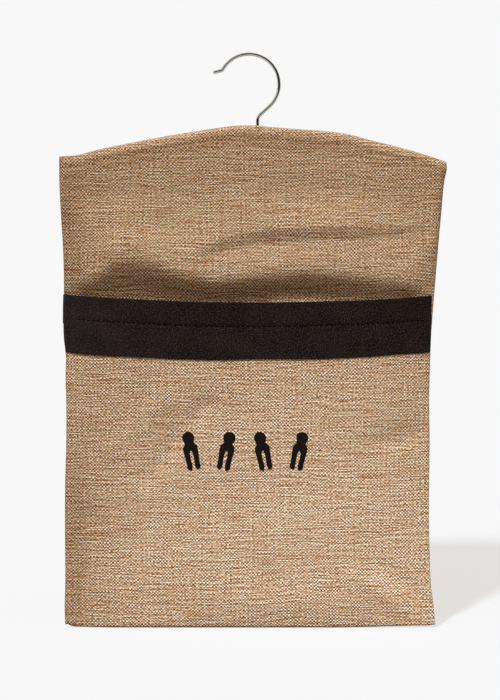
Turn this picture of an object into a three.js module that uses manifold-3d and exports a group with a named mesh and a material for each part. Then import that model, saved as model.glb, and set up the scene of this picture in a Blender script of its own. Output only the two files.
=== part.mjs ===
// A peg bag that hangs on its own hanger: a wire hook that turns in a wooden bar, and a sewn cloth bag
// over the bar whose front pocket is edged with a folded band.
// Millimetres. +Z is up, the front faces -Y, +X is to the right seen from the front.
// The origin is the underside of the hook's crown, where a rail bears.
import * as THREE from 'three';
import { mergeVertices } from 'three/addons/utils/BufferGeometryUtils.js';
import Module from 'manifold-3d';

const wasm = await Module();
wasm.setup();

// Clearance left between neighbouring pieces
const gap = 0.3;

// Hook
const wireDiameter = 3.2;
const hookRadius = 28;
const hookLeaveAngle = -48; // degrees on the round, where the straight leg leaves it at the lower right
const hookTipAngle = 150; // degrees on the round, where it ends at the left
const hookTipTurn = 46; // degrees the tip turns back outwards
const hookTipRadius = 3;
const hookTipLength = 6;
const shankOffset = 8; // the shank stands this far right of the crown
const shankBendRadius = 8;
const hookHeadDiameter = 6.4;
const hookHeadHeight = 1.6;

// Washer under the hanger
const washerDiameter = 9;
const washerThickness = 0.8;

// Cloth and thread
const clothThickness = 1.2;
const bandThickness = 0.8; // one leaf of the band
const threadDiameter = 0.8;

// Bag outline, seen from the front
const apexDrop = 64.3; // the top of the cloth, below the rail
const bagHeight = 467;
const shoulderWidth = 357.8;
const mouthWidth = 344;
const bellyWidth = 337;
const bottomWidth = 342;
const shoulderShift = -4.9; // the middle of the bag from the shank: at the shoulders,
const bellyShift = -9.5; // at the mouth and the belly,
const bottomShift = -7.5; // and at the bottom seam
const leftShoulderDrop = 29;
const rightShoulderDrop = 34;
const shoulderArch = 2.1; // power of the right shoulder's curve: 1 is straight, higher is more arched
const crownWidth = 21; // the top seam lies level for this far left of the shank,
const leftEarWidth = 17; // and for this far at the left corner
const sideReach = 40; // below the hanger the panels round off towards the seams within this distance

// Hanger bar
const hangerThickness = 12;
const hangerHeight = 30; // at the hook
const hangerEndHeight = 20;
const hangerEdgeRound = 5;
const hangerEndRound = 8;
const hangerArch = 1.36; // power of the bar's curve
const hangerSeat = 3; // the bar's top, below the cloth's top seam

// Upper front panel, each level counted down from the apex
const valleyDrop = 105;
const ridgeDrop = 129;
const flapHemDrop = 190;
const valleyDepth = 1.5; // the valley goes in this far behind the bar's face
const ridgeDepth = 7; // the ridge comes out this far in front of it
const hemDepth = 4; // below the ridge it tucks in, and the hem lies this far behind the seam plane

// Pocket and band
const mouthDrop = 158; // the ends of the band's top edge, below the apex
const mouthSag = 6.6;
const mouthDepth = 26; // how far the mouth stands open
const mouthBow = 2.4; // power of its curve across the bag: higher is flatter in the middle
const bottomFullness = 0.35; // share of that depth just above the bottom seam
const bandHeight = 54.3;
const bandRightInset = 2.6; // the band stops short of the right edge
const bandFold = 0.5; // share of the height that the folded-over leaf reaches down behind
const bandFoldLeaves = 2.2; // leaf thicknesses at the fold, with the air between the two
const bandAllowance = 10; // the pocket panel's edge behind the band
const topstitchDrop = 22;
const flapHemTurn = 8; // height of the stitched hem

// Sizes that follow from those above
const wireRadius = wireDiameter / 2;
const hookCentreZ = wireRadius - hookRadius;
const apexZ = -apexDrop;
const bottomZ = apexZ - bagHeight;
const mouthZ = apexZ - mouthDrop;
const hemZ = apexZ - flapHemDrop;
const seamHalfGap = threadDiameter / 2 + gap; // inner faces of the rims, from the seam plane y = 0
const rimReach = 0.75 * hangerThickness; // the cloth rounds over the bar within this distance
const hangerRoom = hangerThickness / 2 + 1.4 * gap - seamHalfGap;
const hangerTopZ = apexZ - hangerSeat;
const hangerBottomZ = hangerTopZ - hangerHeight;
const hangerHalf = shoulderWidth / 2 - Math.abs(shoulderShift) - rimReach - 1;
const hangerDrop = Math.max(rightShoulderDrop, 1.2 * leftShoulderDrop) - 1;
const washerTopZ = hangerBottomZ - gap;
const headTopZ = washerTopZ - washerThickness - gap;

const { lerp, smoothstep, degToRad } = THREE.MathUtils;

// Boolean work
function toManifold(geometry) {
  const bare = new THREE.BufferGeometry();
  bare.setAttribute('position', geometry.getAttribute('position'));
  bare.setIndex(geometry.index);
  const merged = mergeVertices(bare, 1e-4);
  const mesh = new wasm.Mesh({
    numProp: 3,
    vertProperties: merged.getAttribute('position').array,
    triVerts: Uint32Array.from(merged.index.array),
  });
  return new wasm.Manifold(mesh);
}

function toGeometry(manifold) {
  const mesh = manifold.getMesh();
  const geometry = new THREE.BufferGeometry();
  geometry.setAttribute('position', new THREE.BufferAttribute(mesh.vertProperties, 3));
  geometry.setIndex(new THREE.BufferAttribute(mesh.triVerts, 1));
  return geometry;
}

// An upright cylinder round the shank's axis
function shankCylinder(radius, bottom, top, sides = 24) {
  const geometry = new THREE.CylinderGeometry(radius, radius, top - bottom, sides);
  geometry.rotateX(Math.PI / 2);
  geometry.translate(shankOffset, 0, (top + bottom) / 2);
  return toManifold(geometry);
}

// A round rod or thread along points, its section drawn with an even number of sides
function rod(points, diameter, steps, sides) {
  const section = new THREE.Shape();
  section.absarc(0, 0, diameter / 2, 0, 2 * Math.PI);
  return new THREE.ExtrudeGeometry(section, {
    extrudePath: new THREE.CatmullRomCurve3(points),
    steps,
    curveSegments: sides / 2,
    bevelEnabled: false,
  });
}

// Points of a bent wire in the plane y = 0: straight runs and bends, one after the other
function bentWire(x, z, heading, moves) {
  const points = [new THREE.Vector3(x, 0, z)];
  const goOn = (length, angle) => {
    const last = points[points.length - 1];
    const along = new THREE.Vector3(Math.cos(angle), 0, Math.sin(angle));
    points.push(last.clone().addScaledVector(along, length));
  };
  let angle = degToRad(heading);
  for (const move of moves) {
    const parts = move.radius ? Math.ceil(Math.abs(move.turn) / 9) : Math.ceil(move.length / 12);
    const turn = move.radius ? degToRad(move.turn) / parts : 0;
    const chord = move.radius ? 2 * move.radius * Math.sin(Math.abs(turn) / 2) : move.length / parts;
    for (let part = 0; part < parts; part += 1) {
      goOn(chord, angle + turn / 2);
      angle += turn;
    }
  }
  return points;
}

function hook() {
  const leave = degToRad(hookLeaveAngle);
  const bend = -hookLeaveAngle;
  const leg = (hookRadius * Math.cos(leave) - shankOffset) / Math.sin(-leave);
  const bendRun = shankBendRadius * Math.tan(degToRad(bend) / 2);
  const cornerZ = hookCentreZ + hookRadius * Math.sin(leave) - leg * Math.cos(leave);
  const line = bentWire(shankOffset, headTopZ - hookHeadHeight / 2, 90, [
    { length: cornerZ - bendRun - headTopZ + hookHeadHeight / 2 },
    { radius: shankBendRadius, turn: -bend },
    { length: leg - bendRun },
    { radius: hookRadius, turn: hookTipAngle - hookLeaveAngle },
    { radius: hookTipRadius, turn: -hookTipTurn },
    { length: hookTipLength },
  ]);
  const tip = new THREE.SphereGeometry(wireRadius, 12, 8);
  tip.translate(...line[line.length - 1]);
  const wire = toManifold(rod(line, wireDiameter, 84, 10));
  const head = shankCylinder(hookHeadDiameter / 2, headTopZ - hookHeadHeight, headTopZ);
  return toGeometry(wire.add(toManifold(tip)).add(head));
}

function hookWasher() {
  const bottom = washerTopZ - washerThickness;
  const disc = shankCylinder(washerDiameter / 2, bottom, washerTopZ);
  return toGeometry(disc.subtract(shankCylinder(wireRadius + gap, bottom - 1, washerTopZ + 1)));
}

function hangerBar() {
  const topAt = (share) => hangerTopZ - hangerDrop * Math.abs(share) ** hangerArch;
  const heightAt = (share) => lerp(hangerHeight, hangerEndHeight, Math.abs(share));
  const inner = 1 - hangerEndRound / hangerHalf;
  const outline = new THREE.Shape();
  const stations = 10;
  outline.moveTo(-inner * hangerHalf, topAt(inner));
  for (let i = 1; i <= 2 * stations; i += 1) {
    const share = (i / stations - 1) * inner;
    outline.lineTo(share * hangerHalf, topAt(share));
  }
  const endTop = topAt(inner);
  const endBottom = endTop - heightAt(inner);
  const tipTop = topAt(1);
  const tipMiddle = (endTop + endBottom) / 2;
  outline.quadraticCurveTo(hangerHalf, tipTop, hangerHalf, tipMiddle);
  outline.quadraticCurveTo(hangerHalf, endBottom, inner * hangerHalf, endBottom);
  for (let i = 1; i <= 2 * stations; i += 1) {
    const share = (1 - i / stations) * inner;
    outline.lineTo(share * hangerHalf, topAt(share) - heightAt(share));
  }
  outline.quadraticCurveTo(-hangerHalf, endBottom, -hangerHalf, tipMiddle);
  outline.quadraticCurveTo(-hangerHalf, tipTop, -inner * hangerHalf, endTop);
  const bar = new THREE.ExtrudeGeometry(outline, {
    depth: hangerThickness - 2 * hangerEdgeRound,
    bevelThickness: hangerEdgeRound,
    bevelSize: hangerEdgeRound,
    bevelOffset: -hangerEdgeRound,
    bevelSegments: 3,
    curveSegments: 4,
  });
  bar.translate(0, 0, hangerEdgeRound - hangerThickness / 2);
  bar.rotateX(Math.PI / 2);
  bar.translate(shankOffset, 0, 0);
  const bore = shankCylinder(wireRadius + gap, hangerBottomZ - 5, hangerTopZ + 5);
  return toGeometry(toManifold(bar).subtract(bore));
}

// Value at a height, between levels given from the top down, easing from each to the next
function eased(levels, z) {
  for (let i = 1; i < levels.length; i += 1) {
    const [above, valueAbove] = levels[i - 1];
    const [below, valueBelow] = levels[i];
    if (z > below) return lerp(valueBelow, valueAbove, smoothstep(z, below, above));
  }
  return levels[levels.length - 1][1];
}

// Side edges of the bag. u runs across it from 0 at the left edge to 1 at the right edge.
const shoulderZ = apexZ - rightShoulderDrop;
const widthLevels = [
  [shoulderZ, shoulderWidth],
  [mouthZ, mouthWidth],
  [mouthZ - 1.5 * bandHeight, bellyWidth],
  [bottomZ + bandHeight, bellyWidth],
  [bottomZ, bottomWidth],
];
const shiftLevels = [
  [shoulderZ, shoulderShift],
  [mouthZ, bellyShift],
  [bottomZ + bandHeight, bellyShift],
  [bottomZ, bottomShift],
];

function edgeX(u, z) {
  return shankOffset + eased(shiftLevels, z) + (u - 0.5) * eased(widthLevels, z);
}

// Top seam: a straight left shoulder that ends in a level corner, and an arched right one
function topZ(u) {
  const fromShank = shoulderShift + (u - 0.5) * shoulderWidth;
  if (fromShank > 0) {
    const share = fromShank / (shoulderWidth / 2 + shoulderShift);
    return apexZ - rightShoulderDrop * share ** shoulderArch;
  }
  const leftRun = shoulderWidth / 2 - shoulderShift - leftEarWidth - crownWidth;
  return apexZ - leftShoulderDrop * THREE.MathUtils.clamp((-fromShank - crownWidth) / leftRun, 0, 1);
}

// 0 on an edge and 1 from its reach inwards, in the round of a quarter ellipse
function rounded(distance, reach) {
  const share = Math.min(Math.max(distance / reach, 0), 1);
  return Math.sqrt(1 - (1 - share) ** 2);
}

function fromSide(u, z) {
  return Math.min(u, 1 - u) * eased(widthLevels, z);
}

function sideRound(u, z) {
  const low = smoothstep(hangerBottomZ - hangerDrop - z, 0, sideReach);
  return rounded(fromSide(u, z), lerp(rimReach, sideReach, low));
}

// Inner faces of the cloth, as y at a place on the bag
function backInnerY(u, z) {
  const bottomRound = rounded(z - bottomZ, sideReach);
  const round = rounded(topZ(u) - z, rimReach) * sideRound(u, z) * bottomRound;
  return seamHalfGap + hangerRoom * round;
}

const flapLevels = [
  [hangerBottomZ, hangerRoom],
  [apexZ - valleyDrop, hangerRoom - valleyDepth],
  [apexZ - ridgeDrop, hangerRoom + ridgeDepth],
  [mouthZ, -hemDepth / 2],
  [hemZ, -hemDepth],
];

// Where the panel tucks in, it leaves the side seams gently
function flapInnerY(u, z) {
  const depth = eased(flapLevels, z);
  const side = depth > 0 ? sideRound(u, z) : smoothstep(fromSide(u, z), threadDiameter, sideReach);
  return -seamHalfGap - depth * side * rounded(topZ(u) - z, rimReach);
}

function bandTopZ(u) {
  return mouthZ - mouthSag * (1 - (2 * u - 1) ** 2);
}

function bandBottomZ(u) {
  return bandTopZ(u) - bandHeight;
}

// The pocket bows forward from the side seams and, at the band, lies in front of the upper panel's hem
function pocketInnerY(u, z) {
  const bandFoot = bandBottomZ(0.5);
  const inFront = (clothThickness + gap) * smoothstep(z, bandFoot - bandHeight, bandFoot);
  const bow = 1 - Math.abs(2 * u - 1) ** mouthBow;
  const fullness = lerp(bottomFullness, 1, (z - bottomZ) / (mouthZ - bottomZ));
  return -seamHalfGap - inFront - mouthDepth * fullness * bow * rounded(z - bottomZ, sideReach);
}

function bandFrontY(u, z) {
  return pocketInnerY(u, z) - clothThickness - gap - bandThickness;
}

// Rows and columns of a panel: close together along the rims, even between them
const rimSteps = [0, 0.14, 0.34, 0.62, 1].map((share) => share * rimReach);

function rowHeights(bottom, top, rows, rimTop, rimBottom) {
  const low = rimBottom.map((step) => bottom + step);
  const high = rimTop.map((step) => top - step).reverse();
  const start = low[low.length - 1];
  const end = high[0];
  const middle = [];
  for (let row = 1; row < rows; row += 1) middle.push(lerp(start, end, row / rows));
  return [...low, ...middle, ...high];
}

function columnShares(columns) {
  const rim = [...rimSteps, 2 * rimReach, sideReach].map((step) => step / bellyWidth);
  const start = rim[rim.length - 1];
  const middle = [];
  for (let column = 1; column < columns; column += 1) {
    middle.push(lerp(start, 1 - start, column / columns));
  }
  return [...rim, ...middle, ...rim.map((share) => 1 - share).reverse()];
}

const columns = columnShares(10);

// A closed sheet of cloth from its front and back faces
function clothSheet(shares, heightsAt, frontY, backY) {
  const grid = shares.map((u) => heightsAt(u).map((z) => ({ u, z })));
  const rows = grid[0].length;
  const positions = [];
  const index = [];
  for (const faceY of [frontY, backY]) {
    for (const column of grid) {
      column.forEach(({ u, z }, row) => positions.push(edgeX(u, z), faceY(u, z, row), z));
    }
  }
  const front = (column, row) => column * rows + row;
  const back = (column, row) => (shares.length + column) * rows + row;
  const quad = (a, b, c, d) => index.push(a, b, c, a, c, d);
  for (let c = 0; c + 1 < shares.length; c += 1) {
    for (let r = 0; r + 1 < rows; r += 1) {
      quad(front(c, r), front(c + 1, r), front(c + 1, r + 1), front(c, r + 1));
      quad(back(c, r), back(c, r + 1), back(c + 1, r + 1), back(c + 1, r));
    }
    quad(front(c, 0), back(c, 0), back(c + 1, 0), front(c + 1, 0));
    quad(front(c, rows - 1), front(c + 1, rows - 1), back(c + 1, rows - 1), back(c, rows - 1));
  }
  const last = shares.length - 1;
  for (let r = 0; r + 1 < rows; r += 1) {
    quad(front(0, r), front(0, r + 1), back(0, r + 1), back(0, r));
    quad(front(last, r), back(last, r), back(last, r + 1), front(last, r + 1));
  }
  const geometry = new THREE.BufferGeometry();
  geometry.setAttribute('position', new THREE.Float32BufferAttribute(positions, 3));
  geometry.setIndex(index);
  return geometry;
}

// The cloth parts round the shank at the top seam
function partedAtShank(panel) {
  const passage = shankCylinder(wireRadius + gap, apexZ - rimReach, apexZ + rimReach);
  return toGeometry(toManifold(panel).subtract(passage));
}

function backPanel() {
  const heightsAt = (u) => rowHeights(bottomZ, topZ(u), 12, rimSteps, [...rimSteps, 2 * rimReach, sideReach]);
  const panel = clothSheet(columns, heightsAt, backInnerY, (u, z) => backInnerY(u, z) + clothThickness);
  return partedAtShank(panel);
}

function upperFrontPanel() {
  const heightsAt = (u) => rowHeights(hemZ, topZ(u), 16, rimSteps, [0]);
  const panel = clothSheet(columns, heightsAt, (u, z) => flapInnerY(u, z) - clothThickness, flapInnerY);
  return partedAtShank(panel);
}

function lowerFrontPanel() {
  const heightsAt = (u) => {
    const rim = [...rimSteps, 2 * rimReach];
    return rowHeights(bottomZ, bandBottomZ(u) + bandAllowance, 14, [0], rim);
  };
  return clothSheet(columns, heightsAt, (u, z) => pocketInnerY(u, z) - clothThickness, pocketInnerY);
}

// The band's strip is folded over at its top edge, so its upper half has a second leaf behind
function mouthBand() {
  const rightEnd = 1 - bandRightInset / mouthWidth;
  const shares = [...columns.filter((u) => u < rightEnd - 1e-3), rightEnd];
  const foldFoot = 1 - bandFold;
  const stepUp = bandThickness / bandHeight;
  const single = [0, 1 / 3, 2 / 3, 1].map((part) => part * foldFoot);
  const double = [0, 1 / 3, 2 / 3, 1].map((part) => lerp(foldFoot + stepUp, 1, part));
  const heightsAt = (u) => [...single, ...double].map((share) => bandBottomZ(u) + share * bandHeight);
  const backY = (u, z, row) => {
    const leaves = row < single.length ? 1 : bandFoldLeaves;
    return bandFrontY(u, z) + leaves * bandThickness;
  };
  return clothSheet(shares, heightsAt, bandFrontY, backY);
}

// Threads
function seamThread(points) {
  return rod(points, threadDiameter, points.length * 2, 6);
}

function between(from, to, count, place) {
  const points = [];
  for (let i = 0; i <= count; i += 1) points.push(new THREE.Vector3(...place(lerp(from, to, i / count))));
  return points;
}

const threadInset = 0.6 * threadDiameter; // the seam thread lies just inside the edge
const edgeShare = threadInset / bellyWidth;
const seamEnd = 2; // each seam thread stops this far from the next one
const rowStart = 0.045; // share of the width that the rows across the front leave free at each side

function shoulderSeam(fromShare, toShare) {
  return seamThread(between(fromShare, toShare, 12, (u) => {
    const z = topZ(u) - threadInset;
    return [edgeX(u, z), 0, z];
  }));
}

function sideSeam(u, cornerZ) {
  return seamThread(between(bottomZ + seamEnd, cornerZ - seamEnd, 16, (z) => [edgeX(u, z), 0, z]));
}

function bottomSeam() {
  const inset = seamEnd / bottomWidth;
  return seamThread(between(inset, 1 - inset, 8, (u) => {
    const z = bottomZ + threadInset;
    return [edgeX(u, z), 0, z];
  }));
}

// A row of stitches across the front, lying before (-1) or behind (1) a face at the given height.
// It stops short of the side seams.
function acrossFront(heightAt, faceY, side) {
  const clear = side * (threadDiameter / 2 + gap);
  return seamThread(between(rowStart, 1 - rowStart, 24, (u) => {
    const z = heightAt(u);
    return [edgeX(u, z), faceY(u, z) + clear, z];
  }));
}

const shankShare = 0.5 - shoulderShift / shoulderWidth;
const shankGap = (wireRadius + gap + seamEnd) / shoulderWidth;

// Materials
const jute = new THREE.MeshStandardMaterial({ color: '#bb9c7c', roughness: 0.95, metalness: 0 });
const cotton = new THREE.MeshStandardMaterial({ color: '#211c1b', roughness: 0.9, metalness: 0 });
const wood = new THREE.MeshStandardMaterial({ color: '#c8a87a', roughness: 0.7, metalness: 0 });
const steel = new THREE.MeshStandardMaterial({ color: '#85827e', roughness: 0.3, metalness: 1 });
const tanThread = new THREE.MeshStandardMaterial({ color: '#a5835f', roughness: 0.9, metalness: 0 });
const blackThread = new THREE.MeshStandardMaterial({ color: '#121011', roughness: 0.9, metalness: 0 });

const group = new THREE.Group();

function add(name, geometry, material) {
  const mesh = new THREE.Mesh(geometry, material);
  mesh.name = name;
  group.add(mesh);
}

add('hook', hook(), steel);
add('hook_washer', hookWasher(), steel);
add('hanger_bar', hangerBar(), wood);
add('back_panel', backPanel(), jute);
add('upper_front_panel', upperFrontPanel(), jute);
add('lower_front_panel', lowerFrontPanel(), jute);
add('mouth_band', mouthBand(), cotton);
add('left_shoulder_seam', shoulderSeam(edgeShare, shankShare - shankGap), tanThread);
add('right_shoulder_seam', shoulderSeam(shankShare + shankGap, 1 - edgeShare), tanThread);
add('left_side_seam', sideSeam(edgeShare, topZ(0)), tanThread);
add('right_side_seam', sideSeam(1 - edgeShare, topZ(1)), tanThread);
add('bottom_seam', bottomSeam(), tanThread);
add('band_topstitch', acrossFront((u) => bandTopZ(u) - topstitchDrop, bandFrontY, -1), blackThread);
add('band_seam', acrossFront((u) => bandBottomZ(u) + bandAllowance / 2, pocketInnerY, 1), blackThread);
add('flap_hem_stitch', acrossFront(() => hemZ + flapHemTurn, flapInnerY, 1), tanThread);

export default group;
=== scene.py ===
# %% [markdown]
# # A peg bag on its own hanger
# The real thing is a bag sewn from brown hessian. It hangs over a wooden bar, and a wire hook turns in
# the bar. A black cotton band edges the open mouth of the pocket. The solid model already fixes every
# size and joint, so this lesson only dresses it: each stiff cloth solid is replaced by a finer sheet
# of the same shape with its folds, and every other piece gets its finish.

# %% Load the solid model as the fixed frame
import math

import bpy
import numpy as np
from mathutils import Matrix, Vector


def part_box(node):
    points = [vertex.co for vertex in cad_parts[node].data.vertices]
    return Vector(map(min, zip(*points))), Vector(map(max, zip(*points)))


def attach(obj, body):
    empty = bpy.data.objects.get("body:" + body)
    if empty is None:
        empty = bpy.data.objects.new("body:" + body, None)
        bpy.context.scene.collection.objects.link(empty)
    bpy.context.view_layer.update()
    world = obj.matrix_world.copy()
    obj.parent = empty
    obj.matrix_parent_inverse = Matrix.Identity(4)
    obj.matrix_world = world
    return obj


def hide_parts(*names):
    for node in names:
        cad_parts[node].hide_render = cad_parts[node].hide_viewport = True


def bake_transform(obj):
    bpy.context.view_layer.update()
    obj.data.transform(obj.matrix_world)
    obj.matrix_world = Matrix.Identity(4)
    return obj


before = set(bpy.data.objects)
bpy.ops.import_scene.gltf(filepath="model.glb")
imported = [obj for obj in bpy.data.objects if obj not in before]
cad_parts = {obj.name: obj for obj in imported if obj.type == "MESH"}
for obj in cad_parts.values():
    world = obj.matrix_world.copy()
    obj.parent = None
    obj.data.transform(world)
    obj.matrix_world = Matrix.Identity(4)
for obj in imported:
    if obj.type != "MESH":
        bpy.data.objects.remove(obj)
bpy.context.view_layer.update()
MM = 0.001

# %% [markdown]
# ## Curves and roundings
# Cloth has few straight lines. A handful of measured places and a smooth curve through them is easier
# to read and to change than a long list of points, so the outline and the folds are all written that
# way. Sizes are in millimetres, from the underside of the hook's crown, and become metres at the end.


# %% Small curve helpers
def ease(t):
    """0 to 1, level at both ends."""
    t = np.clip(t, 0, 1)
    return t * t * (3 - 2 * t)


def rounded(distance, reach):
    """0 on an edge and 1 from its reach inwards, in the round of a quarter ellipse."""
    t = np.clip(distance / reach, 0, 1)
    return np.sqrt(1 - (1 - t) ** 2)


def through(*knots):
    """A smooth function through (place, value) knots."""
    places, values = np.array(knots, float).T
    slopes = np.gradient(values, places)

    def at(place):
        place = np.clip(place, places[0], places[-1])
        i = np.clip(np.searchsorted(places, place, side="right") - 1, 0, len(places) - 2)
        span = places[i + 1] - places[i]
        t = (place - places[i]) / span
        lean = slopes[i] * t * (1 - t) ** 2 - slopes[i + 1] * t * t * (1 - t)
        return values[i] + (values[i + 1] - values[i]) * ease(t) + span * lean

    return at


def shares(count, tight_start, tight_end, end=0.08):
    """Steps from 0 to 1, drawn closer together in a short share at the start and at the end."""
    t = np.linspace(0, 1, count - 1)
    steps = 1 - tight_start * (1 - ease(t / end)) - tight_end * (1 - ease((1 - t) / end))
    return np.concatenate([[0], np.cumsum(steps) / steps.sum()])


def crease(x, z, start, end, width, height):
    """A soft fold along a line: height is positive where the cloth comes forward."""
    (x0, z0), (x1, z1) = start, end
    length = math.hypot(x1 - x0, z1 - z0)
    along = ((x - x0) * (x1 - x0) + (z - z0) * (z1 - z0)) / length
    off = ((x - x0) * (z1 - z0) - (z - z0) * (x1 - x0)) / length
    fade = ease((along + width) / (2 * width)) * ease((length + width - along) / (2 * width))
    return height * fade * np.exp(-((off / width) ** 2))


def wave(x, z, across, up, start):
    """A slanting wave, which turns by one radian in so many millimetres across and so many up."""
    return np.sin(x / across + z / up + start)


def ripple(x, z, size, first, second):
    """Two waves that cross: soft bumps without a plain rhythm."""
    return size * wave(x, z, *first) * wave(x, z, *second)


print("half way through an ease:", float(ease(0.5)))

# %% [markdown]
# ## The outline of the bag
# Seen from the front, the left shoulder is pulled straight and the right one is arched, because the
# cloth is a little wider than the bar. The sides draw in towards the belly. Across the bag, u runs from
# 0 at the left edge to 1 at the right edge; up the bag, z is the true height.

# %% Edges, seen from the front
BOTTOM = -531.3
HEM = -254.3
left_edge = through(
    (-540, -170.4), (-515, -171.4), (-490, -170.8), (-440, -171.1), (-400, -171.0), (-350, -169.8),
    (-320, -170.0), (-298, -170.6), (-280, -170.3), (-262, -172.2), (-235, -172.5), (-214, -172.1),
    (-178, -173.0), (-149, -174.8), (-125, -176.1), (-60, -176.2),
)
right_edge = through(
    (-540, 173.2), (-515, 172.0), (-490, 169.0), (-465, 168.0), (-430, 167.4), (-350, 167.9),
    (-320, 167.5), (-285, 168.4), (-264, 169.2), (-214, 172.9), (-147, 178.7), (-115, 181.9),
    (-104, 184.0), (-98, 183.4), (-60, 182.6),
)
top_edge = through(
    (-175.8, -93.6), (-160, -92.4), (-144, -88.3), (-99.5, -78.9), (-40, -68.7), (-25, -66.4),
    (-10, -64.7), (5, -64.9), (20, -66.1), (50, -68.5), (80, -71.0), (95, -73.6), (110, -77.6),
    (168, -93.6), (182.2, -98.8),
)
print("sides at the foot:", [round(float(edge(BOTTOM)), 1) for edge in (left_edge, right_edge)], "mm")

# %% Places on the outline
SHOULDERS = (-175.8, 182.2)
FOOT_WIDE = 340
FOOT_SAG = 0.2
LEFT_LIFTS = (9 / FOOT_WIDE, 2.4), (0.14, 1.0)
RIGHT_LIFTS = (6 / FOOT_WIDE, 0.8), (0.28, 2.0)


def head_z(u):
    return top_edge(SHOULDERS[0] + (SHOULDERS[1] - SHOULDERS[0]) * u)


def foot_z(u):
    """The bottom edge. A lift is a share of the width and a height: a round corner, then a slow rise."""
    left = sum(tall * ease(1 - u / wide) for wide, tall in LEFT_LIFTS)
    right = sum(tall * ease(1 - (1 - u) / wide) for wide, tall in RIGHT_LIFTS)
    return BOTTOM - FOOT_SAG + left + right


def width_at(z):
    return right_edge(z) - left_edge(z)


def side_x(u, z):
    return left_edge(z) + u * width_at(z)


def share_at(x, z):
    return (x - left_edge(z)) / width_at(z)


def from_side(u, z):
    """Distance to the nearer side edge."""
    return np.minimum(u, 1 - u) * width_at(z)


def lattice(across, up, foot, head):
    """Grids of u and z for rows of cloth between foot(u) and head(u)."""
    u = np.tile(across, (len(up), 1))
    return u, foot(u) + (head(u) - foot(u)) * up[:, None]


shoulder_wide, belly_wide = (round(float(width_at(z)), 1) for z in (-100.0, -400.0))
print("shoulders", shoulder_wide, "mm, belly", belly_wide, "mm")

# %% [markdown]
# ## Depth: how far each sheet stands off the seam plane
# The side seams lie in the plane y = 0. Every sheet leaves its seam in a small round lip, a doubled
# edge of cloth, and then follows what is under it: the bar at the top, air in the pocket. The top seam
# is left open for a few millimetres where the hook comes out, and the lips part there. Writing depth as
# a function of place means that a print or a stitch can be laid on the cloth by asking the same
# function. For a bulge or a fold, names that end in Z, RUN and SIDE say the height where it starts, the
# length over which it comes in full, and the width along a side seam where it comes or goes.

# %% Lips and roundings shared by the sheets
SEAM = 0.3
LIP = 1.3
LIP_REACH = 2.6
CLOTH = 1.2
BAR_FACE = 6.0
BAR_ROUND = 9.0
SHANK_X = 8.0
SHANK_ROOM = 2.7
SHANK_REACH = 4.0
SLACK, SLACK_Z, SLACK_RUN = 17, -131, 40
SLACK_LOWER_RIGHT = 40
LOW_SLACK, LOW_SLACK_Z, LOW_SLACK_RUN = 16, -185, 30


def lip(u, z, top=True, bottom=True):
    """The lip at the sides, and at the top and the bottom where the sheet has those seams."""
    side = rounded(u * width_at(z), LIP_REACH) * rounded((1 - u) * width_at(z), LIP_REACH)
    parted = 0
    if top:
        side = side * rounded(head_z(u) - z, LIP_REACH)
        at_shank = np.exp(-(((side_x(u, z) - SHANK_X) / SHANK_REACH) ** 2))
        parted = SHANK_ROOM * at_shank * (1 - ease((head_z(u) - z) / SHANK_REACH))
    if bottom:
        side = side * rounded(z - foot_z(u), LIP_REACH)
    return SEAM + LIP * side + parted


def side_round(u, z):
    """The turn towards the side seams: tight over the bar's ends, slacker below and behind the band."""
    slack_from = SLACK_Z - SLACK_LOWER_RIGHT * ease(2 * u - 1)
    slack = SLACK * ease((slack_from - z) / SLACK_RUN)
    low_slack = LOW_SLACK * ease((LOW_SLACK_Z - z) / LOW_SLACK_RUN)
    return rounded(from_side(u, z), BAR_ROUND + slack + low_slack)


print("turn at the sides:", BAR_ROUND, "to", BAR_ROUND + SLACK + LOW_SLACK, "mm")

# %% Depth of the back panel
BACK_FOOT = 40
BACK_WAVES = (0.7, 31, 190, 0), (0.5, 17, -240, 2)
HANG_Z, HANG_RUN = -110, 80


def back_y(u, z):
    x = side_x(u, z)
    to_foot = rounded(z - foot_z(u), BACK_FOOT)
    body = BAR_FACE * rounded(head_z(u) - z, BAR_ROUND) * side_round(u, z) * to_foot
    waves = sum(size * wave(x, z, *run) for size, *run in BACK_WAVES)
    hang = waves * ease((HANG_Z - z) / HANG_RUN) * side_round(u, z) * to_foot ** 2
    return lip(u, z) + body + hang


at_bar = float(back_y(np.array(0.5), np.array(-90.0)))
print("back stands", round(at_bar, 1), "mm behind the seams at the bar")

# %% [markdown]
# ## The folds above the mouth
# The upper front panel hangs over the bar and falls in a little. It drops back in a step along a crease
# that runs in from the right, then rolls forward to a crest. Under the crest it tucks in behind the
# band, with a deeper fold near the left side. Each of those is a curve across the bag: where the crease
# runs and how sharp it is, where the crest runs, how far the roll comes forward and how deep the tuck
# goes. A soft stop at the deepest place keeps the hem off the back panel, and near the side seams the
# cloth drops back early, to pass behind the ends of the band.

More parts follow.
